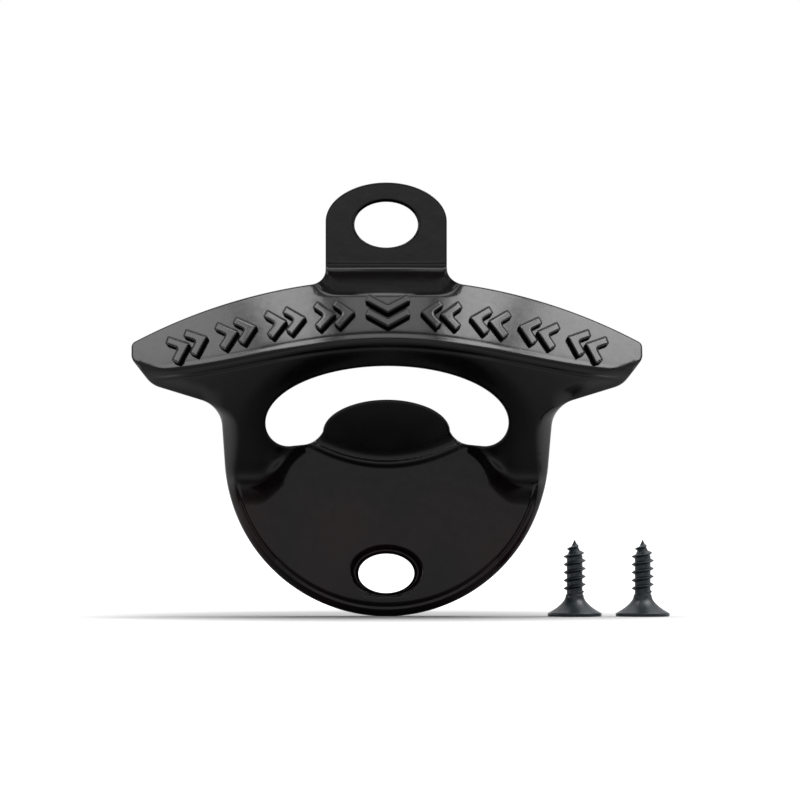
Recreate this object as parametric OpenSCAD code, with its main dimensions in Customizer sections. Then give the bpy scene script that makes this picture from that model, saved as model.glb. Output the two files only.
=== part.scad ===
// Wall-mounted bottle opener pressed from one steel sheet, with its two wood screws.
// Wall plane is y = 0, the front faces -Y, +Z is up, and the origin lies on the wall
// midway between the two screw holes. Lengths are in mm.

/* [Sheet] */
// Thickness of the pressed sheet
sheet = 1.8; // [1.4:0.1:2.4]
// Distance between the centres of the two screw holes
hole_spacing = 54.9; // [52:0.5:60]

/* [Brow] */
// Width over the wing tips
width = 80; // [76:1:90]
// Height of the brow's top edge at the centre
brow_top = 18.7; // [17.5:0.1:20]
// Radius of the brow's top edge
brow_radius = 85; // [70:1:95]
// Height of the lip at the centre
lip_height = 9; // [8.5:0.1:10]
// Fall of the lip from the centre to the wing tips
lip_drop = 5.1; // [4.5:0.1:5.6]
// How far the lip stands out from the wall at the centre
lip_reach = 26; // [22:0.5:30]
// How much nearer the wall the wing tips are than the centre
wing_sweep = 12; // [8:0.5:14]
// How much the brow leans back from the lip to its top edge
band_lean = 8; // [5:0.5:10]

/* [Ear] */
// Width of the ear
ear_width = 19.1; // [16:0.1:24]
// Height of the fold between the ear and the step
ear_fold = 21.5; // [20:0.1:22]
// Height that the step takes up below the fold
step_run = 5.1; // [3:0.1:6]
// Width of the ear's oval hole
ear_hole_width = 10; // [7:0.2:12]
// Height of the ear's oval hole
ear_hole_height = 7.2; // [5:0.1:8]

/* [Mouth] */
// Width of the mouth
mouth_width = 38; // [35:0.5:40]
// Height of the hood's edge above the tooth's tip
mouth_gap = 5.2; // [4.6:0.1:5.8]
// Width of the tooth
tooth_width = 20; // [18:0.2:22]
// Slope of the tooth out of the plate
tooth_slope = 0.85; // [0.6:0.05:1.1]

/* [Plate] */
// Radius of the lower plate
plate_radius = 25.45; // [24.5:0.05:27]
// How far the lower plate stands out from the wall
plate_reach = 4; // [3.4:0.1:5]
// Width of the neck between the wings and the plate
neck_width = 51; // [49.4:0.2:54]
// Width of the lower oval hole
low_hole_width = 8.8; // [6:0.2:11]
// Height of the lower oval hole
low_hole_height = 6.2; // [5:0.1:7.4]

/* [Chevrons] */
// How far the raised chevrons stand off the brow
relief = 0.9; // [0.5:0.1:1.3]
// Stroke width of a chevron
stroke = 1.4; // [1:0.1:1.8]

/* [Screws] */
// Length of a screw
screw_length = 12.1; // [10:0.1:20]
// Outer diameter of the thread
thread_size = 3.5; // [3:0.1:4.2]
// Distance between two thread turns
pitch = 1.25; // [1.1:0.05:1.6]
// Diameter of the screw head
head_size = 8.5; // [7.6:0.1:9.5]
// Distance of the left screw from the middle of the opener
left_screw_x = 29.6; // [29:0.1:31]
// Distance of the right screw from the middle of the opener
right_screw_x = 40.3; // [40.2:0.1:50]

/* [Hidden] */
$fn = 48;
half = width / 2;
neck = neck_width / 2;
ear = ear_width / 2;
hole_z = hole_spacing / 2;
plate_z = -8.75;
rim_roll = 1.9;
rim_drop = 1.5;
seam = 0.03;
bottom_z = plate_z - plate_radius;
neck_fillet = 4.5;
fillet_z = -4.8;
neck_lean = 0.07;
wing_x = 3.2;
wing_z = 2.2;
tip_z = 6.3;
tooth_tip = -0.1;
hood_edge = tooth_tip + mouth_gap;
lobe_z = -3.8;
lobe = 3.6;
heel = 3.8;
ear_top = hole_z + 6.65;
deep = 60;
black = [0.05, 0.05, 0.055];
blue_black = [0.1, 0.12, 0.14];

// Smooth step of v from 0 at a to 1 at b
function ease(a, b, v) =
    let (t = min(1, max(0, (v - a) / (b - a))))
    t * t * (3 - 2 * t);

// Larger of a and b with the corner between them rounded over k
function soft_max(a, b, k) =
    let (h = min(1, max(0, 0.5 + 0.5 * (a - b) / k)))
    b * (1 - h) + a * h + k * h * (1 - h);

function soft_min(a, b, k) = -soft_max(-a, -b, k);

// Fall of a rolled edge, 1 at the edge and 0 at the inner end
function roll(t) = pow(1 - min(1, max(0, t)), 1.4);

function mix(a, b, t) = a + (b - a) * t;

function brow_z(x) = brow_top - brow_radius + sqrt(brow_radius * brow_radius - x * x);

function lip_z(x) = lip_height - lip_drop / 2 * (1 - cos(min(180, 172 * abs(x) / half)));

function lip_y(x) = lip_reach - wing_sweep * pow(x / half, 2);

// Line along which the flat plate starts to rise into the cheeks and the hood
function rise_z(x) =
    let (a = abs(x))
    -9 - 4.6 * ease(12, 16.5, a) - 0.36 * max(0, a - 15);

// Front of the brow band, bowed a little between the lip and the top edge
function band(x, z) =
    let (v = (z - lip_z(x)) / (brow_top - lip_height))
    lip_y(x) - band_lean * v + 0.6 * max(-1, v * (1 - v));

// Front of the cheeks and the hood, which rise straight from the plate to the lip
function cheek(x, z) =
    let (low = rise_z(x))
    let (s = (z - low) / (lip_z(x) - low))
    plate_reach + (lip_y(x) - plate_reach) * soft_max(s, 0, 0.06);

// Front of the cheeks with the shallow dish round the mouth
function hood(x, z) =
    let (e = norm([x / 22.2, (z + 4) / 12.2]))
    let (dish = 0.5 + 1.1 * min(1, abs(x) / 16))
    cheek(x, z) - dish * (1 - ease(0.8, 1.06, e));

// Front of the tooth
function tooth(x, z) =
    let (fold = -9 + 3 * pow(x / 11.6, 2))
    soft_max(plate_reach, plate_reach + tooth_slope * (z - fold), 0.6);

// Half width of the neck, which widens into the wings
function neck_x(z) =
    let (u = max(0, z - fillet_z))
    u >= neck_fillet ? deep
        : neck + neck_lean * (z - plate_z) + neck_fillet - sqrt(neck_fillet * neck_fillet - u * u);

// Distance from the side outline of the plate and the neck
function inset(x, z) =
    z < plate_z ? plate_radius - norm([x, z - plate_z]) : neck_x(z) - abs(x);

// Part of the front that belongs to the tooth and the plate below it
function in_tooth(x, z) = abs(x) < 12.6 && z < 2.6 - 0.01 * x * x;

// How far the front of the body stands out below the ear's fold
function face(x, z, low) =
    let (a = abs(x))
    let (open = soft_min(band(x, z), hood(x, z), 1))
    let (main = low ? tooth(x, z) : max(open, plate_reach))
    let (high = ease(plate_z - 6, plate_z + 4, z))
    let (side = (rim_drop + 1.1 * high) * roll(inset(x, z) / (rim_roll + 0.7 * high)))
    let (keep = 1 - ease(-3.5, fillet_z + neck_fillet, z))
    let (edge = -0.5 + (wing_z + 0.5) / (half - wing_x - 28) * max(0, a - 28))
    let (tuck = 1.3 * (1 - ease(0, 3.2, z - edge)) * ease(25.5, 29, a))
    main - side * keep - tuck;

// How far the whole front stands out from the wall
function front(x, z, low) =
    let (s = min(1, max(0, (z - ear_fold + step_run) / step_run)))
    let (wide = ear - 2.2 + 2.3 * s)
    let (t = (1 - pow(1 - s, 2.2)) * (1 - ease(wide, wide + 3.6, abs(x))))
    max(0.8, mix(face(x, z, low), sheet, t));

// How far the back stands out: the front set back by the thickness of the sheet
function back(x, z, low) =
    let (ring = [for (a = [0:45:315]) [cos(a), sin(a)]])
    let (near = [for (k = [0.55, 0.95], d = ring)
        front(x + k * sheet * d[0], z + k * sheet * d[1], low) - sheet * sqrt(1 - k * k)])
    max(0, min(front(x, z, low) - sheet, min(near)));

// Heights of the grid lines at x, following the lip, the brow and the fold
function grid_z(x) =
    let (low = rise_z(x))
    let (lip = lip_z(x))
    let (brow = brow_z(x))
    let (arch = sqrt(max(0, 1 - pow(2 * x / mouth_width, 2))))
    let (hood = max(1.2, mix(lobe_z, hood_edge, arch) - 0.6))
    concat(
        [low - 0.7],
        [for (t = [0:8]) mix(low + 0.2, -1.6, t / 8)],
        [-0.5, 0.7, hood],
        [for (t = [0.33, 0.66]) mix(hood, lip - 1.2, t)],
        [for (d = [-1.2, -0.7, -0.3, 0, 0.4]) lip + d],
        [for (t = [0.25, 0.45, 0.65, 0.78, 0.88, 1]) mix(lip + 0.4, brow, t)],
        [for (t = [0.25, 0.5, 0.75]) mix(brow, ear_fold, t)],
        [ear_fold - 0.3, ear_fold, ear_fold + 0.4, ear_top + 1]
    );

// Places of the grid lines from the middle to the right, close together at the neck
grid_half = concat(
    [for (i = [0:12]) i * (neck - 2.6) / 12],
    [for (d = [-2, -1.39, -0.91, -0.46, -0.11, 0.5, 1.4]) neck + d],
    [for (i = [1:7]) mix(neck + 1.4, half + 0.6, i / 7)]
);
grid_x = concat([for (i = [len(grid_half) - 1:-1:1]) -grid_half[i]], grid_half);

module sheet_grid() {
    rows = [for (x = grid_x) grid_z(x)];
    n = len(grid_x);
    m = len(rows[0]);
    fronts = [for (i = [0:n - 1], z = rows[i])
        let (x = grid_x[i])
        [x, -front(x, z, in_tooth(x, z)), z]];
    backs = [for (i = [0:n - 1], z = rows[i])
        let (x = grid_x[i])
        [x, -back(x, z, in_tooth(x, z)), z]];
    k = n * m;
    cells = [for (i = [0:n - 2], j = [0:m - 2]) i * m + j];
    front_faces = [for (c = cells) each [[c, c + 1, c + m + 1], [c, c + m + 1, c + m]]];
    back_faces = [for (f = front_faces) [f[2] + k, f[1] + k, f[0] + k]];
    ends = [for (j = [0:m - 2], s = [0, 1])
        let (a = s * (n - 1) * m + j)
        s == 0 ? [a + 1, a, a + k, a + k + 1] : [a, a + 1, a + k + 1, a + k]];
    sides = [for (i = [0:n - 2], s = [0, 1])
        let (a = i * m + s * (m - 1))
        s == 0 ? [a, a + m, a + m + k, a + k] : [a + m, a, a + k, a + m + k]];
    polyhedron(concat(fronts, backs), concat(front_faces, back_faces, ends, sides), convexity = 12);
}

module oval(w, h) {
    scale([w, h])
        circle(d = 1);
}

// Stand a flat shape up against the wall and give it depth towards the front
module stand(depth) {
    rotate([90, 0, 0])
        linear_extrude(depth)
            children();
}

module wings_2d() {
    intersection() {
        translate([0, brow_top - brow_radius])
            circle(r = brow_radius, $fn = 220);
        offset(r = 4)
            offset(delta = -4)
                polygon([
                    [-half, brow_top], [-half, tip_z], [wing_x - half, wing_z], [-28, -0.5],
                    [28, -0.5], [half - wing_x, wing_z], [half, tip_z], [half, brow_top]
                ]);
    }
}

module ear_2d() {
    translate([-ear, 12])
        square([ear_width, hole_z + 0.5 - 12]);
    translate([0, hole_z + 0.5])
        oval(ear_width, 2 * (ear_top - hole_z - 0.5));
}

// Neck and the upper part of the plate
module neck_2d() {
    low = plate_z - plate_radius * neck_lean;
    in = neck + neck_lean * (low - plate_z);
    out = neck + neck_lean * (-1 - plate_z);
    polygon([[-in, low], [in, low], [out, -1], [-out, -1]]);
    intersection() {
        translate([0, plate_z])
            circle(r = plate_radius - seam, $fn = 170);
        translate([-half, plate_z - 9])
            square([width, 9]);
    }
}

module outline_2d() {
    offset(r = -2.6)
        offset(delta = 2.6) {
            offset(r = -neck_fillet)
                offset(delta = neck_fillet) {
                    offset(r = 1)
                        offset(delta = -1)
                            wings_2d();
                    neck_2d();
                }
            ear_2d();
        }
}

module mouth_2d() {
    rise = hood_edge - lobe_z;
    lobe_x = mouth_width / 2 - lobe;
    difference() {
        union() {
            intersection() {
                translate([0, lobe_z])
                    oval(mouth_width, 2 * rise, $fn = 96);
                translate([-half, lobe_z])
                    square([width, 2 * rise]);
            }
            for (s = [-1, 1])
                hull() {
                    translate([s * lobe_x, lobe_z])
                        circle(r = lobe);
                    translate([s * (tooth_width / 2 + 3.4), lobe_z + 0.4])
                        circle(r = heel, $fn = 36);
                }
        }
        translate([0, -5.2])
            oval(tooth_width, 2 * (5.2 + tooth_tip), $fn = 72);
    }
}

// Lower plate with its rim rolled back to the wall
module plate() {
    top = plate_reach - seam;
    low = plate_reach - sheet + seam;
    side = plate_radius + 1;
    right = [for (x = [side, 21.3, 18.2, 16.1, 14.6, 13.4]) [x, rise_z(x) + 0.6]];
    left = [for (i = [len(right) - 1:-1:0]) [-right[i][0], right[i][1]]];
    intersection() {
        stand(deep)
            polygon(concat([[-side, bottom_z - 1], [side, bottom_z - 1]], right, left));
        rotate([90, 0, 0])
            translate([0, plate_z, 0])
                rotate([0, 0, 180])
                    rotate_extrude(angle = 180, $fn = 96)
                        polygon(concat(
                            [[0, low], [0, top]],
                            [for (t = [1, 0.75, 0.55, 0.38, 0.22, 0.1, 0.03, 0])
                                [plate_radius - rim_roll * t, top - rim_drop * roll(t)]],
                            [[plate_radius, seam], [plate_radius - 1.5, seam]],
                            [[plate_radius - 1.9, 0.7 * low], [plate_radius - 2.7, low]]
                        ));
    }
}

// Oval hole with a sunk edge, wide on the front face at depth y
module sunk_hole(w, h, rim_w, rim_h, lift, y, sink) {
    stand(deep)
        oval(w, h);
    hull() {
        translate([0, -y, lift])
            stand(1)
                oval(rim_w, rim_h);
        translate([0, sink - y, 0])
            stand(0.1)
                oval(w, h);
    }
}

// Raised stroke on the brow between two places given as x and height
module raised(a, b) {
    hull()
        for (p = [a, b])
            translate([p[0], -front(p[0], p[1], false) + 0.5, p[1]])
                rotate([90, 0, 0])
                    cylinder(h = relief + 0.5, d1 = stroke + 0.3, d2 = stroke - 0.3, $fn = 10);
}

// One chevron in the brow's slope at x, its point turned by aim
module chevron(x, along, aim, reach, spread) {
    tilt = -asin(x / brow_radius);
    mid = [x, (brow_z(x) + lip_z(x)) / 2 - 0.2];
    turn = tilt + aim;
    dir = [cos(turn), sin(turn)];
    cross = [-dir[1], dir[0]];
    tip = mid + dir * (along + reach / 2);
    for (s = [-1, 1])
        raised(tip, tip - dir * reach + cross * s * spread);
}

module chevrons() {
    for (k = [-1.1, 1.1])
        chevron(0, k - 0.2, -90, 1.8, 3.3);
    for (i = [0:3], k = [-1.5, 1.5], s = [-1, 1])
        chevron(s * (8.6 + 7.6 * i), k, s > 0 ? 180 : 0, 2.2, 1.9);
}

module opener_body() {
    color(black)
        difference() {
            union() {
                intersection() {
                    sheet_grid();
                    stand(deep)
                        outline_2d();
                }
                plate();
                chevrons();
            }
            stand(deep)
                mouth_2d();
            translate([0, 0, hole_z])
                sunk_hole(ear_hole_width, ear_hole_height, ear_hole_width + 0.8,
                    ear_hole_height + 0.3, 0, sheet, 0.5);
            translate([0, 0, -hole_z])
                sunk_hole(low_hole_width, low_hole_height, low_hole_width + 2.8,
                    low_hole_height + 1.9, 0.45, plate_reach, 1.1);
        }
}

// Wedge of the thread at turn t, its crest at radius r
module thread_slice(t, base_z, core, r) {
    rotate([0, 0, 360 * t])
        translate([0, 0, base_z + pitch * t])
            rotate([90, 0, 0])
                linear_extrude(0.02)
                    polygon([[core - 0.35, -0.34], [r, -0.05], [r, 0.05], [core - 0.35, 0.3]]);
}

// Screw standing on its head with the point up
module screw(x) {
    r = thread_size / 2;
    core = r - 0.5;
    neck_r = r - 0.3;
    head = head_size / 2;
    flare = 3;
    taper = 2.6;
    start = flare + 0.6;
    turns = (screw_length - start - 0.9) / pitch;
    steps = 11;
    color(blue_black)
        translate([x, -head, bottom_z])
            difference() {
                union() {
                    rotate_extrude($fn = 28)
                        polygon(concat(
                            [[0, 0], [head - 0.1, 0], [head, 0.12], [head, 0.45]],
                            [for (t = [0.15, 0.3, 0.45, 0.6, 0.8, 1])
                                [mix(neck_r, head, pow(1 - t, 2.1)), mix(0.5, flare, t)]],
                            [[core, flare + 0.5], [core, screw_length - taper], [0.05, screw_length]],
                            [[0, screw_length]]
                        ));
                    for (i = [0:floor(turns * steps) - 1])
                        hull()
                            for (t = [i / steps, (i + 1) / steps]) {
                                z = start + pitch * t;
                                w = min(1, (screw_length - z) / taper);
                                thread_slice(t, start, core * w, max(r * w, 0.3));
                            }
                }
                for (a = [0, 90])
                    rotate([0, 0, a])
                        hull() {
                            translate([-2.1, -0.4, -0.1])
                                cube([4.2, 0.8, 0.1]);
                            translate([-0.6, -0.3, 1.6])
                                cube([1.2, 0.6, 0.1]);
                        }
            }
}

module left_screw() {
    screw(left_screw_x);
}

module right_screw() {
    screw(right_screw_x);
}

opener_body();
left_screw();
right_screw();
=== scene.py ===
import math

import bpy
import numpy as np
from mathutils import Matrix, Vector
from mathutils.geometry import delaunay_2d_cdt


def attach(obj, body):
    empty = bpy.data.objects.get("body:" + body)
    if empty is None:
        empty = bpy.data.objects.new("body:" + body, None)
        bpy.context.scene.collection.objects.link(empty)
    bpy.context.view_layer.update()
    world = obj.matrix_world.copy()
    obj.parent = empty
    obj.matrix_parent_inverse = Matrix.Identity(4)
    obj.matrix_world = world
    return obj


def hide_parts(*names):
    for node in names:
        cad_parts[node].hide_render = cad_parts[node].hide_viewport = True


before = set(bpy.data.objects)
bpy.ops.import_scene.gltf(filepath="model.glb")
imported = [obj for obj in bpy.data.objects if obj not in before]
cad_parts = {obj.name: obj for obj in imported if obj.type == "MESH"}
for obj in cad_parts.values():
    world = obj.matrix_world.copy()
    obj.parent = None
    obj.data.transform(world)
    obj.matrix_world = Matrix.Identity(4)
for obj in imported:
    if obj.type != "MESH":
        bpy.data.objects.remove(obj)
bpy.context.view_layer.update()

MM = 0.001

# Sizes of the opener in mm, mostly as in the part's source. The roll of the rim (RIM_*) is narrower
# and shallower here, the line where the cheeks rise (RISE_*) is smoother, and LIP_TRIM is only here.
SHEET = 1.8
HALF = 40.0
BROW_TOP, BROW_R = 18.7, 85.0
LIP_Z, LIP_DROP, LIP_Y = 9.0, 5.1, 26.0
SWEEP, LEAN = 12.0, 8.0
EAR, EAR_FOLD, STEP_RUN = 9.55, 21.5, 5.1
HOLE_Z = 27.45
EAR_TOP = HOLE_Z + 6.65
MOUTH, MOUTH_GAP, TOOTH, TOOTH_SLOPE = 19.0, 5.2, 10.0, 0.85
PLATE_R, PLATE_Y, PLATE_Z = 25.45, 4.0, -8.75
NECK, NECK_FILLET, FILLET_Z, NECK_LEAN = 25.5, 4.5, -4.8, 0.07
RIM_ROLL, RIM_DROP = 1.3, 1.2
TOOTH_TIP = -0.1
LOBE_Z, LOBE, HEEL = -3.8, 3.6, 3.8
WING_X, WING_Z, TIP_Z = 3.2, 2.2, 6.3
TIP_ROUND, EAR_FILLET = 1, 2.6
# Where the wing's lower edge leaves the neck's fillet.
WING_FOOT_X, WING_FOOT_Z = 28, -0.5
RELIEF, STROKE = 0.9, 1.4
BOTTOM_Z = PLATE_Z - PLATE_R
EAR_HOLE, LOW_HOLE = (10.0, 7.2), (8.8, 6.2)
# The pressed ring round the lower hole: its half width and height, and how far it sits above the hole.
RING_X, RING_Z, RING_UP = 5.8, 4.05, 0.45
RING_DEPTH, RING_LIP = 1.1, 0.3
# The tooth is half an ellipse about this height, and its foot bends about FOLD_Z.
TOOTH_Z, FOLD_Z = -5.2, -9
IN_TOOTH_X = 12.6
# The cheeks leave the plate at RISE_Z in the middle and RISE_DROP lower at the sides.
RISE_Z, RISE_DROP = -8.6, 7.5
# Half sizes and height of the shallow dish round the mouth.
DISH_X, DISH_H, DISH_Z = 22.2, 12.2, -4
# The front stays this far from the wall, and this far behind the lip's full reach.
LEAST_Y, LIP_TRIM = 0.8, 0.26
LEFT_SCREW_X, RIGHT_SCREW_X = 29.6, 40.3


def ease(a, b, v):
    """0 up to a, 1 from b on, and smooth between."""
    t = np.clip((v - a) / (b - a), 0, 1)
    return t * t * (3 - 2 * t)


def soft_max(a, b, k):
    """The larger of a and b, rounded where they come within k of each other."""
    h = np.clip(0.5 + 0.5 * (a - b) / k, 0, 1)
    return b * (1 - h) + a * h + k * h * (1 - h)


def soft_min(a, b, k):
    return -soft_max(-a, -b, k)


def roll(t):
    """Share of the rim's drop at t, which is 0 at the edge and 1 at the roll's inner end."""
    return (1 - np.clip(t, 0, 1)) ** 1.4


def brow_z(x):
    """Height of the brow's top edge."""
    return BROW_TOP - BROW_R + np.sqrt(BROW_R ** 2 - x * x)


def lip_z(x):
    """Height of the lip, which falls towards the wings."""
    return LIP_Z - LIP_DROP / 2 * (1 - np.cos(np.minimum(math.pi, np.radians(172 / HALF) * np.abs(x))))


def lip_y(x):
    """How far the lip stands out from the wall, less towards the wings."""
    return LIP_Y - SWEEP * (x / HALF) ** 2


def rise_z(x):
    """Height at which the sheet leaves the plate for the cheeks."""
    return RISE_Z - RISE_DROP * ease(10.5, 20.5, np.abs(x))


def band(x, z):
    """The brow's face, which leans back from the lip and bulges a little."""
    v = (z - lip_z(x)) / (BROW_TOP - LIP_Z)
    return lip_y(x) - LEAN * v + 0.6 * np.maximum(-1, v * (1 - v))


def cheek(x, z):
    """The cheeks and the hood, which rise straight from the plate to the lip."""
    low = rise_z(x)
    s = (z - low) / (lip_z(x) - low)
    return PLATE_Y + (lip_y(x) - PLATE_Y) * soft_max(s, 0 * s, 0.04)


def hood(x, z):
    """The cheeks with the shallow dish round the mouth."""
    e = np.hypot(x / DISH_X, (z - DISH_Z) / DISH_H)
    dish = 0.5 + 1.1 * np.minimum(1, np.abs(x) / 16)
    return cheek(x, z) - dish * (1 - ease(0.8, 1.06, e))


def tooth(x, z):
    """The plate and the tooth that rises from it, with a small step at the tooth's foot."""
    fold = FOLD_Z + 3 * (x / 11.6) ** 2
    step = 0.75 * ease(-1.95, -1.15, z - fold) - 0.28 * ease(-1.15, -0.4, z - fold)
    bulge = 0.5 * np.sin(math.pi * np.clip((z - fold) / 9, 0, 1))
    return soft_max(PLATE_Y + step, PLATE_Y + TOOTH_SLOPE * (z - fold) + 0.3 + bulge, 0.5)


def neck_x(z):
    """Half the width of the neck, which widens into the wings by a fillet."""
    u = np.clip(z - FILLET_Z, 0, NECK_FILLET)
    w = NECK + NECK_LEAN * (z - PLATE_Z) + NECK_FILLET - np.sqrt(NECK_FILLET ** 2 - u * u)
    return np.where(z - FILLET_Z >= NECK_FILLET, 60, w)


def inset(x, z):
    """Distance inwards from the outline of the plate and the neck."""
    return np.where(z < PLATE_Z, PLATE_R - np.hypot(x, z - PLATE_Z), neck_x(z) - np.abs(x))


def in_tooth(x, z):
    """Where the front belongs to the tooth and the plate below it."""
    return (np.abs(x) < IN_TOOTH_X) & (z < 2.6 - 0.01 * x * x)


def face(x, z, low):
    """The front without the ear; low marks the points of the tooth and the plate below it."""
    a = np.abs(x)
    opened = soft_min(band(x, z), hood(x, z), 1.0)
    main = np.where(low, tooth(x, z), np.maximum(opened, PLATE_Y))
    high = ease(PLATE_Z - 6, PLATE_Z + 4, z)
    side = (RIM_DROP + 1.4 * high) * roll(inset(x, z) / (RIM_ROLL + 1.3 * high))
    keep = 1 - ease(-3.5, FILLET_Z + NECK_FILLET, z)
    slope = (WING_Z - WING_FOOT_Z) / (HALF - WING_X - WING_FOOT_X)
    edge = WING_FOOT_Z + slope * np.maximum(0, a - WING_FOOT_X)
    tuck = 1.3 * (1 - ease(0, 3.2, z - edge)) * ease(25.5, 29, a)
    return main - side * keep - tuck


def front(x, z, low=None, fine=True):
    """How far the front of the sheet stands out from the wall, in mm."""
    base = face(x, z, in_tooth(x, z) if low is None else low)
    s = (z - EAR_FOLD + STEP_RUN) / STEP_RUN
    s = np.clip(soft_max(s, 0 * s, 0.1), 0, 1)
    wide = EAR - 2.2 + 2.3 * s
    t = (1 - (1 - s) ** 2.2) * (1 - ease(wide, wide + 3.6, np.abs(x)))
    y = np.clip(base + (SHEET - base) * t, LEAST_Y, LIP_Y - LIP_TRIM)
    return y - sunk_edge(x, z + HOLE_Z) + (ledge(x, z) - fine_lines(x, z) if fine else 0)


def ledge(x, z):
    """Height of the soft ledge at the foot of each cheek."""
    ridge = 0.8 * np.exp(-((z - rise_z(x) - 3.1) / 1.1) ** 2)
    return ridge * ease(12, 16, np.abs(x)) * ease(0, 2.4, inset(x, z))


def fine_lines(x, z):
    """Depth of the fine lines pressed along the plate's rim and above and below the lip."""
    rim = 0.4 * np.exp(-((inset(x, z) - 1.5) / 0.24) ** 2) * (1 - ease(-15.5, -12.5, z))
    d = z - lip_z(x)
    lip = 0.05 * np.exp(-((d - 1.1) / 0.3) ** 2) + 0.4 * np.exp(-((d + 1.0) / 0.24) ** 2)
    return rim + lip * (1 - ease(33, 37, np.abs(x)))


def sunk_edge(x, z):
    """Depth of the pressed ring round the lower hole, whose centre is the origin here."""
    hole = np.hypot(x / (LOW_HOLE[0] / 2), z / (LOW_HOLE[1] / 2))
    ring = np.hypot(x / RING_X, (z - RING_UP) / RING_Z)
    t = (hole - 1) / np.maximum(1e-6, (hole - 1) + np.maximum(0, 1 - ring))
    t = np.clip(t, 0, 1)
    return np.where(ring < 1, RING_DEPTH * np.sin(math.pi * t) ** 0.9 + RING_LIP * (1 - t), 0)


def back(x, z):
    """The front set back by the thickness of the sheet, measured square to it."""
    low = in_tooth(x, z)
    out = front(x, z, low, False) - SHEET
    for k in (0.35, 0.65, 0.88, 0.98):
        for a in np.arange(16) * math.pi / 8:
            y = front(x + k * SHEET * math.cos(a), z + k * SHEET * math.sin(a), low, False)
            out = np.minimum(out, y - SHEET * math.sqrt(1 - k * k))
    # The rim of the plate's lower half rests on the wall.
    rim = (1 - ease(0.5, 1.7, inset(x, z))) * (1 - ease(-18.5, -16.5, z))
    return np.maximum(0, out * (1 - rim))


# Plan curves, as lists of (x, z) points in mm.
def arc(cx, cz, r, a0, a1, step=0.35, rz=None):
    """Arc from a0 to a1 degrees, elliptic if its upright radius rz is given."""
    rz = r if rz is None else rz
    n = max(3, int(math.ceil(abs(math.radians(a1 - a0)) * max(r, rz) / step)))
    ang = np.radians(np.linspace(a0, a1, n + 1))
    return np.stack([cx + r * np.cos(ang), cz + rz * np.sin(ang)], 1)


def bend(p0, p1, p2, r):
    """Arc of radius r that rounds the corner p1 between p0 and p2."""
    p0, p1, p2 = (np.array(p, float) for p in (p0, p1, p2))
    u = (p0 - p1) / np.linalg.norm(p0 - p1)
    v = (p2 - p1) / np.linalg.norm(p2 - p1)
    half = math.acos(float(np.clip(u @ v, -1, 1))) / 2
    mid = (u + v) / np.linalg.norm(u + v)
    c = p1 + mid * r / math.sin(half)
    a, b = p1 + u * r / math.tan(half) - c, p1 + v * r / math.tan(half) - c
    a0 = math.atan2(a[1], a[0])
    turn = math.atan2(a[0] * b[1] - a[1] * b[0], float(a @ b))
    ang = a0 + turn * np.linspace(0, 1, max(3, int(abs(turn) * r / 0.12) + 2))
    return np.stack([c[0] + r * np.cos(ang), c[1] + r * np.sin(ang)], 1)


def filled(points, step=0.4):
    """The closed line through the points with its long stretches divided."""
    out = []
    for p, q in zip(points, np.roll(points, -1, 0)):
        n = max(1, int(math.ceil(np.linalg.norm(q - p) / step)))
        out += [p + (q - p) * i / n for i in range(n)]
    out = np.array(out)
    keep = np.linalg.norm(out - np.roll(out, 1, 0), axis=1) > 0.02
    return out[keep]


def mirrored(right):
    """Closes a right half that runs from the axis up to the axis."""
    left = right[::-1] * [-1, 1]
    return np.concatenate([right, left[1:-1]])


def outline():
    brow_c = BROW_TOP - BROW_R
    foot, corner, tip = (WING_FOOT_X, WING_FOOT_Z), (HALF - WING_X, WING_Z), (HALF, TIP_Z)
    slope = math.atan2(WING_Z - WING_FOOT_Z, HALF - WING_X - WING_FOOT_X)
    lean = math.atan(NECK_LEAN)
    side = np.array([[math.cos(lean), -math.sin(lean)], [math.sin(slope), -math.cos(slope)]])
    gap = NECK_FILLET + np.array([side[0] @ (NECK, PLATE_Z), side[1] @ foot])
    fx, fz = np.linalg.solve(side, gap)
    lean, slope = math.degrees(lean), math.degrees(slope)
    top_z = brow_c + math.sqrt((BROW_R - TIP_ROUND) ** 2 - (HALF - TIP_ROUND) ** 2)
    top_a = math.degrees(math.atan2(top_z - brow_c, HALF - TIP_ROUND))
    ear_x = EAR + EAR_FILLET
    ear_z = brow_c + math.sqrt((BROW_R + EAR_FILLET) ** 2 - ear_x ** 2)
    ear_a = math.degrees(math.atan2(ear_z - brow_c, ear_x))
    right = np.concatenate([
        arc(0, PLATE_Z, PLATE_R, -90, -lean),
        arc(fx, fz, NECK_FILLET, 180 - lean, 90 + slope),
        bend(foot, corner, tip, 4.0),
        bend(corner, tip, (HALF, 8), 2.0),
        arc(HALF - TIP_ROUND, top_z, TIP_ROUND, 0, top_a, 0.12),
        arc(0, brow_c, BROW_R, top_a, ear_a),
        arc(ear_x, ear_z, EAR_FILLET, ear_a + 180, 180),
        arc(0, HOLE_Z + 0.5, EAR, 0, 90, rz=EAR_TOP - HOLE_Z - 0.5),
    ])
    return filled(mirrored(right))


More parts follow.
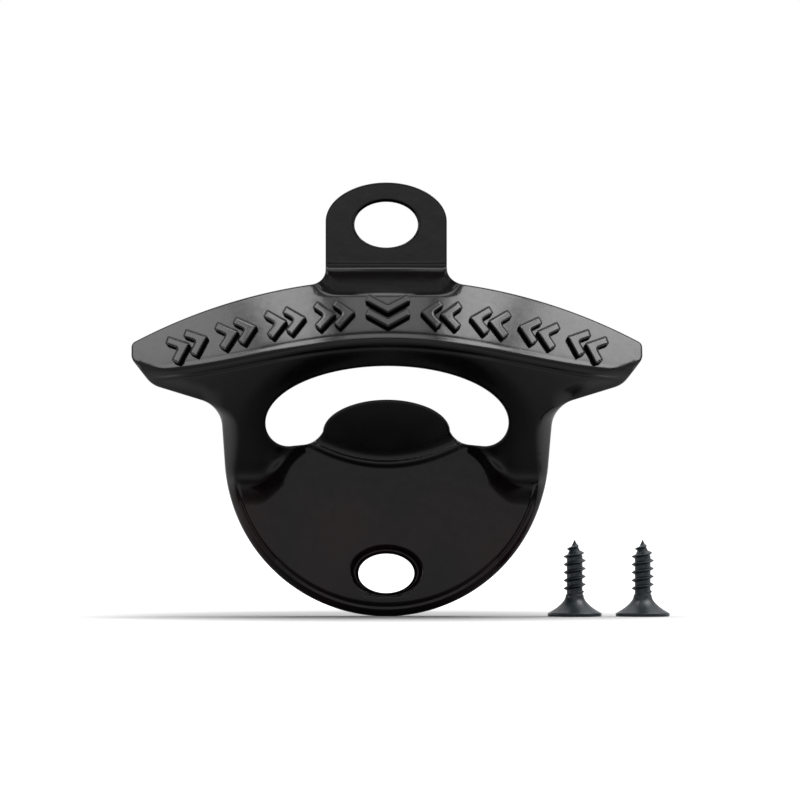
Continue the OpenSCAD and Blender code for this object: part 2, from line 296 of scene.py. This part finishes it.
def mouth():
    lobe_x = MOUTH - LOBE
    heel = np.array([TOOTH + 3.4, LOBE_Z + 0.4])
    d = np.array([lobe_x, LOBE_Z]) - heel
    lean = math.degrees(math.atan2(d[1], d[0]) - math.acos((HEEL - LOBE) / np.linalg.norm(d)))
    ang = lean
    tall = TOOTH_TIP - TOOTH_Z
    while True:
        p = heel + HEEL * np.array([math.cos(math.radians(ang)), math.sin(math.radians(ang))])
        if (p[0] / TOOTH) ** 2 + ((p[1] - TOOTH_Z) / tall) ** 2 < 1 or ang < -185:
            break
        ang -= 1
    foot = math.degrees(math.atan2((p[1] - TOOTH_Z) / tall, p[0] / TOOTH))
    right = np.concatenate([
        arc(0, TOOTH_Z, TOOTH, 90, foot, rz=tall),
        arc(heel[0], heel[1], HEEL, ang, lean)[1:],
        arc(lobe_x, LOBE_Z, LOBE, lean, 0),
        arc(0, LOBE_Z, MOUTH, 0, 90, rz=TOOTH_TIP + MOUTH_GAP - LOBE_Z)[1:],
    ])
    return filled(mirrored(right))


def oval(w, h, z):
    return filled(arc(0, z, w / 2, 0, 360, rz=h / 2)[:-1])


def shifted(loop, e):
    """The closed line moved by e to its left."""
    t = np.roll(loop, -1, 0) - np.roll(loop, 1, 0)
    t /= np.linalg.norm(t, axis=1)[:, None]
    return loop + np.stack([-t[:, 1], t[:, 0]], 1) * e


def ccw(loop):
    """The loop in counter-clockwise order."""
    x, z = loop[:, 0], loop[:, 1]
    return loop if np.sum(x * np.roll(z, -1) - np.roll(x, -1) * z) > 0 else loop[::-1]


def inside(points, loop):
    """Which of the points lie inside the closed loop."""
    x, z = points[:, 0][:, None], points[:, 1][:, None]
    a, b = loop, np.roll(loop, -1, 0)
    cross = (a[:, 1] > z) != (b[:, 1] > z)
    dz = np.where(np.abs(b[:, 1] - a[:, 1]) < 1e-12, 1e-12, b[:, 1] - a[:, 1])
    hit = x < a[:, 0] + (z - a[:, 1]) * (b[:, 0] - a[:, 0]) / dz
    return (np.sum(cross & hit, axis=1) % 2).astype(bool)


def clearance(points, lines):
    """Distance of each point to the nearest point of the lines."""
    cloud = np.concatenate(lines)
    out = np.empty(len(points))
    for i in range(0, len(points), 2000):
        d = points[i:i + 2000, None, :] - cloud[None, :, :]
        out[i:i + 2000] = np.sqrt((d * d).sum(2).min(1))
    return out


def triangles(points, loop, holes):
    """Counter-clockwise triangles over the points, inside the loop and outside the holes."""
    _, _, faces, origin, _, _ = delaunay_2d_cdt([Vector(p) for p in points], [], [], 0, 1e-7)
    verts = np.array([o[0] for o in origin])
    tri = verts[np.array([list(f) for f in faces])]
    mid = points[tri].mean(1)
    keep = inside(mid, loop)
    for h in holes:
        keep &= ~inside(mid, h)
    tri = tri[keep]
    p, q, r = points[tri[:, 0]], points[tri[:, 1]], points[tri[:, 2]]
    area = (q[:, 0] - p[:, 0]) * (r[:, 1] - p[:, 1]) - (q[:, 1] - p[:, 1]) * (r[:, 0] - p[:, 0])
    tri[area < 0] = tri[area < 0][:, ::-1]
    return tri[np.abs(area) > 1e-9]


def rim_edges(tri):
    """Edges that only one triangle has, in its own direction."""
    e = np.concatenate([tri[:, [0, 1]], tri[:, [1, 2]], tri[:, [2, 0]]])
    have = {tuple(p) for p in e.tolist()}
    return [p for p in e.tolist() if (p[1], p[0]) not in have]


def slab_mesh(name, points, tri, fronts, backs):
    """Closed mesh between a front and a back depth over flat triangles."""
    n = len(points)
    co = np.concatenate([
        np.stack([points[:, 0], -fronts, points[:, 1]], 1),
        np.stack([points[:, 0], -backs, points[:, 1]], 1),
    ]) * MM
    faces = tri.tolist() + (tri[:, ::-1] + n).tolist()
    faces += [[b, a, a + n, b + n] for a, b in rim_edges(tri)]
    mesh = bpy.data.meshes.new(name)
    mesh.from_pydata(co.tolist(), [], faces)
    mesh.validate()
    mesh.polygons.foreach_set("use_smooth", [True] * len(mesh.polygons))
    mesh.update()
    obj = bpy.data.objects.new(name, mesh)
    bpy.context.collection.objects.link(obj)
    return obj


def edge_fall(e, r):
    """How far an edge of radius r has dropped at a distance e from its outline."""
    return r - np.sqrt(np.maximum(0, r * r - (r - np.minimum(e, r)) ** 2))


# Radii of the rounded edges, and the loops of mesh points beside them.
ROUND, RIM_ROUND, CHEVRON_ROUND = 0.45, 0.22, 0.36
INSETS = (0, 0.05, 0.14, 0.27, 0.45, 0.62)
RIM_INSETS = (0, 0.025, 0.07, 0.13, 0.22, 0.42, 0.62)
# How far the chevrons reach into the sheet, in mm.
ROOT = 0.6
CHEVRON_INSETS = (0, 0.05, 0.12, 0.22, 0.36, 0.52)
RING_STEPS = (0.35, 0.5, 0.65, 0.82, 1.0, 1.12)


def ear_hole_bevel(loop):
    """How wide the ear hole's edge is broken: most at the top, least at the bottom."""
    return 0.3 + 0.14 * (loop[:, 1] - HOLE_Z) / (EAR_HOLE[1] / 2)


def rows():
    """Heights of the mesh rows at the middle, closer where the sheet bends more."""
    spans = [(-34.6, -18, 0.8), (-18, -6, 0.22), (-6, 5, 0.5), (5, 7.4, 0.4), (7.4, 10.6, 0.16),
             (10.6, 15.6, 0.5), (15.6, 17.8, 0.12), (17.8, 22.4, 0.25), (22.4, 34.6, 0.8)]
    return np.concatenate([np.arange(a, b, s) for a, b, s in spans])


def columns():
    """Places of the mesh columns, closer at the cheeks' feet and at the neck."""
    spans = [(0, 11.8, 0.55), (11.8, 17.4, 0.25), (17.6, 22.6, 0.5), (22.8, 25.8, 0.22),
             (26, 40.4, 0.55)]
    right = np.concatenate([np.arange(a, b, s) for a, b, s in spans])
    return np.concatenate([-right[:0:-1], right])


def interior():
    """Mesh points inside the outline, in rows that follow the lip and the brow."""
    x, r = (g.ravel() for g in np.meshgrid(columns(), rows()))
    lip, brow = lip_z(x) - LIP_Z, brow_z(x) - BROW_TOP
    low = lip * ease(-4, 8, r)
    up = lip + (brow - lip) * np.clip((r - LIP_Z) / (BROW_TOP - LIP_Z), 0, 1)
    high = brow * (1 - ease(BROW_TOP, EAR_FOLD, r))
    z = r + np.where(r < LIP_Z, low, np.where(r < BROW_TOP, up, high))
    return np.stack([x, z], 1)


def level_fall(loop, e, r):
    """The same fall at every point of the loop."""
    return np.full(len(loop), float(edge_fall(np.array(e), r)))


def make_opener():
    rim = ccw(outline())
    ear_hole = ccw(oval(*EAR_HOLE, HOLE_Z))
    holes = [ccw(mouth()), ear_hole, ccw(oval(*LOW_HOLE, -HOLE_Z))]
    sets = [shifted(rim, e) for e in RIM_INSETS]
    falls = [level_fall(rim, e, RIM_ROUND) for e in RIM_INSETS]
    for e in INSETS:
        for loop in holes:
            sets.append(shifted(loop, -e))
            if loop is ear_hole:
                falls.append(np.maximum(0, ear_hole_bevel(loop) - e))
            else:
                falls.append(level_fall(loop, e, ROUND))
    w, h = LOW_HOLE
    ring = [oval(w + 2.8 * t, h + 1.9 * t, -HOLE_Z + RING_UP * t) for t in RING_STEPS]
    ring += [arc(0, PLATE_Z, PLATE_R - e, -168, -12) for e in np.arange(0.62, 2.8, 0.14)]
    ring = [g[clearance(g, sets) > 0.12] for g in ring]
    pts = interior()
    pts = pts[inside(pts, rim)]
    for hole in holes:
        pts = pts[~inside(pts, hole)]
    pts = pts[clearance(pts, sets) > 0.3]
    pts = pts[clearance(pts, ring) > 0.2]
    points = np.concatenate(sets + ring + [pts])
    fall = np.concatenate(falls + [np.zeros(sum(map(len, ring)) + len(pts))])
    tri = triangles(points, rim, holes)
    x, z = points[:, 0], points[:, 1]
    f, b = front(x, z), back(x, z)
    thin = np.minimum(fall, (f - b) * 0.45)
    return slab_mesh("opener_sheet", points, tri, f - thin, b + thin)


def chevron_line(x, along, aim, reach, spread):
    """Closed outline of one chevron on the brow at x, its point turned by aim degrees."""
    turn = -math.asin(x / BROW_R) + math.radians(aim)
    d = np.array([math.cos(turn), math.sin(turn)])
    c = np.array([-d[1], d[0]])
    mid = np.array([x, (brow_z(x) + lip_z(x)) / 2 - 0.2])
    tip = mid + d * (along + reach / 2)
    ends = [tip - d * reach + c * s * spread for s in (-1, 1)]
    arm = np.linalg.norm(ends[0] - tip)
    sin, cos = spread / arm, reach / arm
    w = STROKE / 2
    out = [tip + d * w / sin, ends[1] + (d * sin + c * cos) * w, ends[1] - (d * sin + c * cos) * w,
           tip - d * w / sin, ends[0] - (d * sin - c * cos) * w, ends[0] + (d * sin - c * cos) * w]
    n = len(out)
    soft = [bend(out[i - 1], out[i], out[(i + 1) % n], 0.3) for i in range(n)]
    return ccw(filled(np.concatenate(soft), 0.2))


def make_chevrons():
    """Two chevrons that point down in the middle, and four pairs on each side that point to it."""
    lines = [chevron_line(0, k - 0.2, -90, 1.8, 3.3) for k in (-1.1, 1.1)]
    for s in (-1, 1):
        for i in range(4):
            for k in (-1.5, 1.5):
                lines.append(chevron_line(s * (8.6 + 7.6 * i), k, 180 if s > 0 else 0, 2.2, 1.9))
    made = []
    for i, line in enumerate(lines):
        points = np.concatenate([shifted(line, e) for e in CHEVRON_INSETS])
        fall = np.concatenate([level_fall(line, e, CHEVRON_ROUND) for e in CHEVRON_INSETS])
        points, first = np.unique(np.round(points, 5), axis=0, return_index=True)
        fall = fall[first]
        tri = triangles(points, line, [])
        base = face(points[:, 0], points[:, 1], False)
        made.append(slab_mesh("chevron_%02d" % i, points, tri, base + RELIEF - fall, base - ROOT))
    return made


# Screws, standing on their heads with the points up.
SCREW_L, THREAD_R, PITCH, HEAD_R, FLARE, TAPER = 12.1, 1.75, 1.25, 4.25, 3.2, 2.6
# The head's straight side and its broken edge, and the cross recess: arm, half width, depth and taper.
SIDE_H, BREAK_H, BREAK_R = 0.5, 0.12, 0.1
CROSS_ARM, CROSS_W, CROSS_DEEP, CROSS_TAPER = 2.1, 0.4, 1.5, 0.55
SEGMENTS = 72


def screw_radius(z, ang):
    """Radius of the screw at the height z over its head and at an angle round its axis."""
    core, neck = THREAD_R - 0.5, THREAD_R - 0.3
    t = np.clip((z - SIDE_H) / (FLARE - SIDE_H), 0, 1)
    flare = neck + (HEAD_R - neck) * (1 - t) ** 1.7
    shank = core + (neck - core) * (1 - ease(FLARE, FLARE + 0.5, z))
    tip = np.clip((SCREW_L - z) / TAPER, 0, 1)
    side = HEAD_R - BREAK_R * (1 - np.clip(z / BREAK_H, 0, 1))
    plain = np.where(z < SIDE_H, side, np.where(z < FLARE, flare, shank * tip))
    phase = (z - FLARE - 0.6) / PITCH - ang / (2 * math.pi)
    d = np.abs(phase - np.round(phase)) * PITCH
    start = ease(FLARE + 0.3, FLARE + 1.0, z)
    ridge = np.maximum(0, 1 - np.maximum(0, d - 0.04) / 0.28)
    height = np.minimum(THREAD_R - core, 0.25 + 0.9 * (THREAD_R - core) * tip) * ease(0.2, 0.5, tip)
    return np.maximum(0.02, plain + ridge * height * start)


def make_screw(name, x):
    seg = SEGMENTS
    levels = np.concatenate([[0, 0.04, 0.12, 0.3, 0.45, 0.5], np.arange(0.6, FLARE, 0.12),
                             np.arange(FLARE, SCREW_L, 0.055), [SCREW_L]])
    ang = np.arange(seg) * 2 * math.pi / seg
    z, a = np.meshgrid(levels, ang, indexing="ij")
    r = screw_radius(z, a)
    co = np.stack([x + r * np.cos(a), -HEAD_R + r * np.sin(a), BOTTOM_Z + z], 2).reshape(-1, 3).tolist()
    faces = []
    for i in range(len(levels) - 1):
        for j in range(seg):
            k = (j + 1) % seg
            faces.append([i * seg + j, i * seg + k, (i + 1) * seg + k, (i + 1) * seg + j])
    top = (len(levels) - 1) * seg
    faces.append([top + j for j in range(seg)])
    # The cross recess in the head, drawn from below.
    a, w = CROSS_ARM, CROSS_W
    cross = [(a, -w), (a, w), (w, w), (w, a), (-w, a), (-w, w),
             (-a, w), (-a, -w), (-w, -w), (-w, -a), (w, -a), (w, -w)]
    corners = len(cross)
    outer = np.array([[float(r[0, j] * math.cos(t)), float(r[0, j] * math.sin(t))]
                      for j, t in enumerate(ang)])
    flat = np.concatenate([outer, np.array(cross)])
    tri = triangles(flat, outer, [np.array(cross)])
    first = len(co)
    co += [[x + p[0], -HEAD_R + p[1], BOTTOM_Z] for p in cross]
    deep = len(co)
    co += [[x + p[0] * CROSS_TAPER, -HEAD_R + p[1] * CROSS_TAPER, BOTTOM_Z + CROSS_DEEP] for p in cross]
    place = list(range(seg)) + list(range(first, first + corners))
    faces += [[place[t] for t in f[::-1]] for f in tri.tolist()]
    for i in range(corners):
        k = (i + 1) % corners
        faces.append([first + i, first + k, deep + k, deep + i])
    faces.append([deep + i for i in range(corners)][::-1])
    mesh = bpy.data.meshes.new(name)
    mesh.from_pydata((np.array(co) * MM).tolist(), [], faces)
    mesh.validate()
    mesh.update()
    smooth = [len(p.vertices) == 4 and abs(p.normal.z) < 0.999 for p in mesh.polygons]
    mesh.polygons.foreach_set("use_smooth", smooth)
    obj = bpy.data.objects.new(name, mesh)
    bpy.context.collection.objects.link(obj)
    return obj


# Materials
def new_material(name):
    mat = bpy.data.materials.new(name)
    mat.use_nodes = True
    nt = mat.node_tree
    return mat, nt.nodes, nt.links, nt.nodes["Principled BSDF"]


def noise(nodes, links, coord, scale, detail, rough=0.5):
    n = nodes.new("ShaderNodeTexNoise")
    n.inputs["Scale"].default_value = scale
    n.inputs["Detail"].default_value = detail
    n.inputs["Roughness"].default_value = rough
    links.new(coord, n.inputs["Vector"])
    return n.outputs["Fac"]


def spread(nodes, links, fac, low, high):
    m = nodes.new("ShaderNodeMapRange")
    m.inputs["From Min"].default_value = 0.3
    m.inputs["From Max"].default_value = 0.7
    m.inputs["To Min"].default_value = low
    m.inputs["To Max"].default_value = high
    links.new(fac, m.inputs["Value"])
    return m.outputs["Result"]


def tint(nodes, links, fac, low, high):
    m = nodes.new("ShaderNodeMix")
    m.data_type = "RGBA"
    m.inputs["A"].default_value = (*low, 1)
    m.inputs["B"].default_value = (*high, 1)
    links.new(fac, m.inputs["Factor"])
    return m.outputs["Result"]


def paint_material():
    mat, nodes, links, bsdf = new_material("gloss_black_paint")
    coord = nodes.new("ShaderNodeTexCoord").outputs["Object"]
    broad = noise(nodes, links, coord, 38, 3)
    fine = noise(nodes, links, coord, 900, 3, 0.6)
    peel = noise(nodes, links, coord, 420, 2)
    black = tint(nodes, links, broad, (0.0012, 0.0011, 0.0012), (0.003, 0.0023, 0.0024))
    # The plate's paint has a warm cast in soft patches.
    height = nodes.new("ShaderNodeSeparateXYZ")
    links.new(coord, height.inputs[0])
    low = nodes.new("ShaderNodeMapRange")
    low.interpolation_type = "SMOOTHSTEP"
    low.inputs["From Min"].default_value = -0.010
    low.inputs["From Max"].default_value = -0.018
    links.new(height.outputs["Z"], low.inputs["Value"])
    patch = nodes.new("ShaderNodeMath")
    patch.operation = "MULTIPLY"
    links.new(spread(nodes, links, noise(nodes, links, coord, 75, 2), 0, 1), patch.inputs[0])
    links.new(low.outputs["Result"], patch.inputs[1])
    warm = tint(nodes, links, patch.outputs[0], (0, 0, 0), (0.01, 0.003, 0.004))
    links.new(black, warm.node.inputs["A"])
    links.new(warm, bsdf.inputs["Base Color"])
    links.new(spread(nodes, links, fine, 0.14, 0.2), bsdf.inputs["Roughness"])
    bsdf.inputs["Specular IOR Level"].default_value = 0.14
    bump = nodes.new("ShaderNodeBump")
    bump.inputs["Strength"].default_value = 0.08
    bump.inputs["Distance"].default_value = 0.0002
    links.new(peel, bump.inputs["Height"])
    links.new(bump.outputs["Normal"], bsdf.inputs["Normal"])
    return mat


def oxide_material():
    mat, nodes, links, bsdf = new_material("black_oxide_steel")
    coord = nodes.new("ShaderNodeTexCoord").outputs["Object"]
    broad = noise(nodes, links, coord, 260, 4)
    fine = noise(nodes, links, coord, 2600, 3)
    blue_black = tint(nodes, links, broad, (0.0045, 0.0078, 0.0108), (0.011, 0.0175, 0.0225))
    links.new(blue_black, bsdf.inputs["Base Color"])
    links.new(spread(nodes, links, fine, 0.28, 0.42), bsdf.inputs["Roughness"])
    bsdf.inputs["Specular IOR Level"].default_value = 0.22
    bump = nodes.new("ShaderNodeBump")
    bump.inputs["Strength"].default_value = 0.15
    bump.inputs["Distance"].default_value = 0.0001
    links.new(fine, bump.inputs["Height"])
    links.new(bump.outputs["Normal"], bsdf.inputs["Normal"])
    return mat


paint = paint_material()
oxide = oxide_material()

opener = make_opener()
opener.data.materials.append(paint)
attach(opener, "opener")
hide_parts("opener_body")
for chevron in make_chevrons():
    chevron.data.materials.append(paint)
    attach(chevron, "opener")
for node, x in (("left_screw", LEFT_SCREW_X), ("right_screw", RIGHT_SCREW_X)):
    screw = make_screw(node + "_steel", x)
    screw.data.materials.append(oxide)
    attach(screw, node)
    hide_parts(node)


# Stage, in metres.
FLOOR_HALF, FLOOR_GREY = 3.0, 0.3
# The floor's glow is left out up to the first distance from the origin, which paints a grey pool of
# shade round the object, and the floor is white from the second on.
PAINTED_SHADE_TO, WHITE_FROM = 0.036, 0.085
WORLD_LIGHT, WHITE = 0.3, 1.0
# Each lamp's name, place, aim, size and power in watts.
LAMPS = (
    ("top_softbox", (0, -0.135, 0.75), (0, -0.02, 0), (0.34, 0.2), 1.4),
    ("mid_left", (-0.32, -0.074, 0.74), (0, -0.02, 0), (0.3, 0.16), 2.7),
    ("mid_right", (0.32, -0.074, 0.74), (0, -0.02, 0), (0.3, 0.16), 3.0),
    ("top_left", (-0.56, 0.0, 0.72), (0, -0.02, 0), (0.4, 0.2), 2.3),
    ("top_right", (0.56, 0.0, 0.72), (0, -0.02, 0), (0.4, 0.2), 4.2),
    ("back_top", (0, 0.40, 0.62), (0, -0.02, 0), (0.7, 0.35), 0.7),
    ("front_fill", (0, -1.2, 0.75), (0, 0, 0), (1.2, 0.25), 2.5),
    ("front_card", (0, -2.5, 0.19), (0, 0, 0.02), (1.2, 0.22), 2.05),
    ("left_strip", (-0.9, -0.06, 0.12), (0, 0, 0), (0.1, 0.5), 1.8),
    ("right_strip", (0.9, -0.06, 0.12), (0, 0, 0), (0.1, 0.5), 1.3),
)
# The camera's distance from the wall, the depth of the plane that is in scale, and the photo's scale.
AWAY, SCALE_PLANE = 1.6, 0.008
PHOTO_PX, PX_PER_MM = 800, 6.375
CAMERA_AIM, CAMERA_YAW = (0.00208, -0.008, -0.00016), -0.8
SENSOR = 36


def light_path(nodes, links):
    """1 for rays from the camera, mirrors and glass, else 0."""
    path = nodes.new("ShaderNodeLightPath")
    a = nodes.new("ShaderNodeMath")
    a.operation = "MAXIMUM"
    links.new(path.outputs["Is Camera Ray"], a.inputs[0])
    links.new(path.outputs["Is Glossy Ray"], a.inputs[1])
    b = nodes.new("ShaderNodeMath")
    b.operation = "MAXIMUM"
    links.new(a.outputs[0], b.inputs[0])
    links.new(path.outputs["Is Transmission Ray"], b.inputs[1])
    return b.outputs[0]


def make_floor():
    mesh = bpy.data.meshes.new("floor")
    s, z = FLOOR_HALF, BOTTOM_Z * MM
    mesh.from_pydata([(-s, -s, z), (s, -s, z), (s, s, z), (-s, s, z)], [], [[0, 1, 2, 3]])
    obj = bpy.data.objects.new("floor", mesh)
    bpy.context.collection.objects.link(obj)
    mat, nodes, links, bsdf = new_material("pale_floor")
    bsdf.inputs["Base Color"].default_value = (FLOOR_GREY, FLOOR_GREY, FLOOR_GREY, 1)
    bsdf.inputs["Roughness"].default_value = 0.9
    bsdf.inputs["Specular IOR Level"].default_value = 0.1
    bsdf.inputs["Emission Color"].default_value = (1, 1, 1, 1)
    # The floor grows white away from the object; near it the glow is left out, which paints a grey pool
    # of shade round the object, and the lamps' own shadow falls there too.
    place = nodes.new("ShaderNodeTexCoord").outputs["Object"]
    away = nodes.new("ShaderNodeVectorMath")
    away.operation = "LENGTH"
    links.new(place, away.inputs[0])
    fade = nodes.new("ShaderNodeMapRange")
    fade.interpolation_type = "SMOOTHSTEP"
    fade.inputs["From Min"].default_value = PAINTED_SHADE_TO
    fade.inputs["From Max"].default_value = WHITE_FROM
    links.new(away.outputs["Value"], fade.inputs["Value"])
    glow = nodes.new("ShaderNodeMath")
    glow.operation = "MULTIPLY"
    links.new(light_path(nodes, links), glow.inputs[0])
    links.new(fade.outputs["Result"], glow.inputs[1])
    links.new(glow.outputs[0], bsdf.inputs["Emission Strength"])
    mesh.materials.append(mat)


def make_world():
    world = bpy.data.worlds.new("studio")
    bpy.context.scene.world = world
    world.use_nodes = True
    nodes, links = world.node_tree.nodes, world.node_tree.links
    bg = nodes["Background"]
    bg.inputs["Color"].default_value = (1, 1, 1, 1)
    m = nodes.new("ShaderNodeMapRange")
    m.inputs["To Min"].default_value = WORLD_LIGHT
    m.inputs["To Max"].default_value = WHITE
    links.new(light_path(nodes, links), m.inputs["Value"])
    links.new(m.outputs["Result"], bg.inputs["Strength"])


def area_light(name, place, aim, size, power):
    data = bpy.data.lights.new(name, "AREA")
    data.shape = "RECTANGLE"
    data.size, data.size_y = size
    data.energy = power
    obj = bpy.data.objects.new(name, data)
    obj.location = place
    obj.rotation_euler = (Vector(aim) - Vector(place)).to_track_quat("-Z", "Y").to_euler()
    bpy.context.collection.objects.link(obj)


def make_camera():
    data = bpy.data.cameras.new("camera")
    data.sensor_width = SENSOR
    data.sensor_fit = "HORIZONTAL"
    away = AWAY - SCALE_PLANE
    data.lens = SENSOR * away / (PHOTO_PX / PX_PER_MM * MM)
    obj = bpy.data.objects.new("camera", data)
    yaw = math.radians(CAMERA_YAW)
    aim = Vector(CAMERA_AIM)
    obj.location = aim + away * Vector((math.sin(yaw), -math.cos(yaw), 0))
    obj.rotation_euler = (math.pi / 2, 0, yaw)
    bpy.context.collection.objects.link(obj)
    bpy.context.scene.camera = obj


make_floor()
make_world()
for lamp in LAMPS:
    area_light(*lamp)
make_camera()
bpy.context.scene.view_settings.view_transform = "Standard"
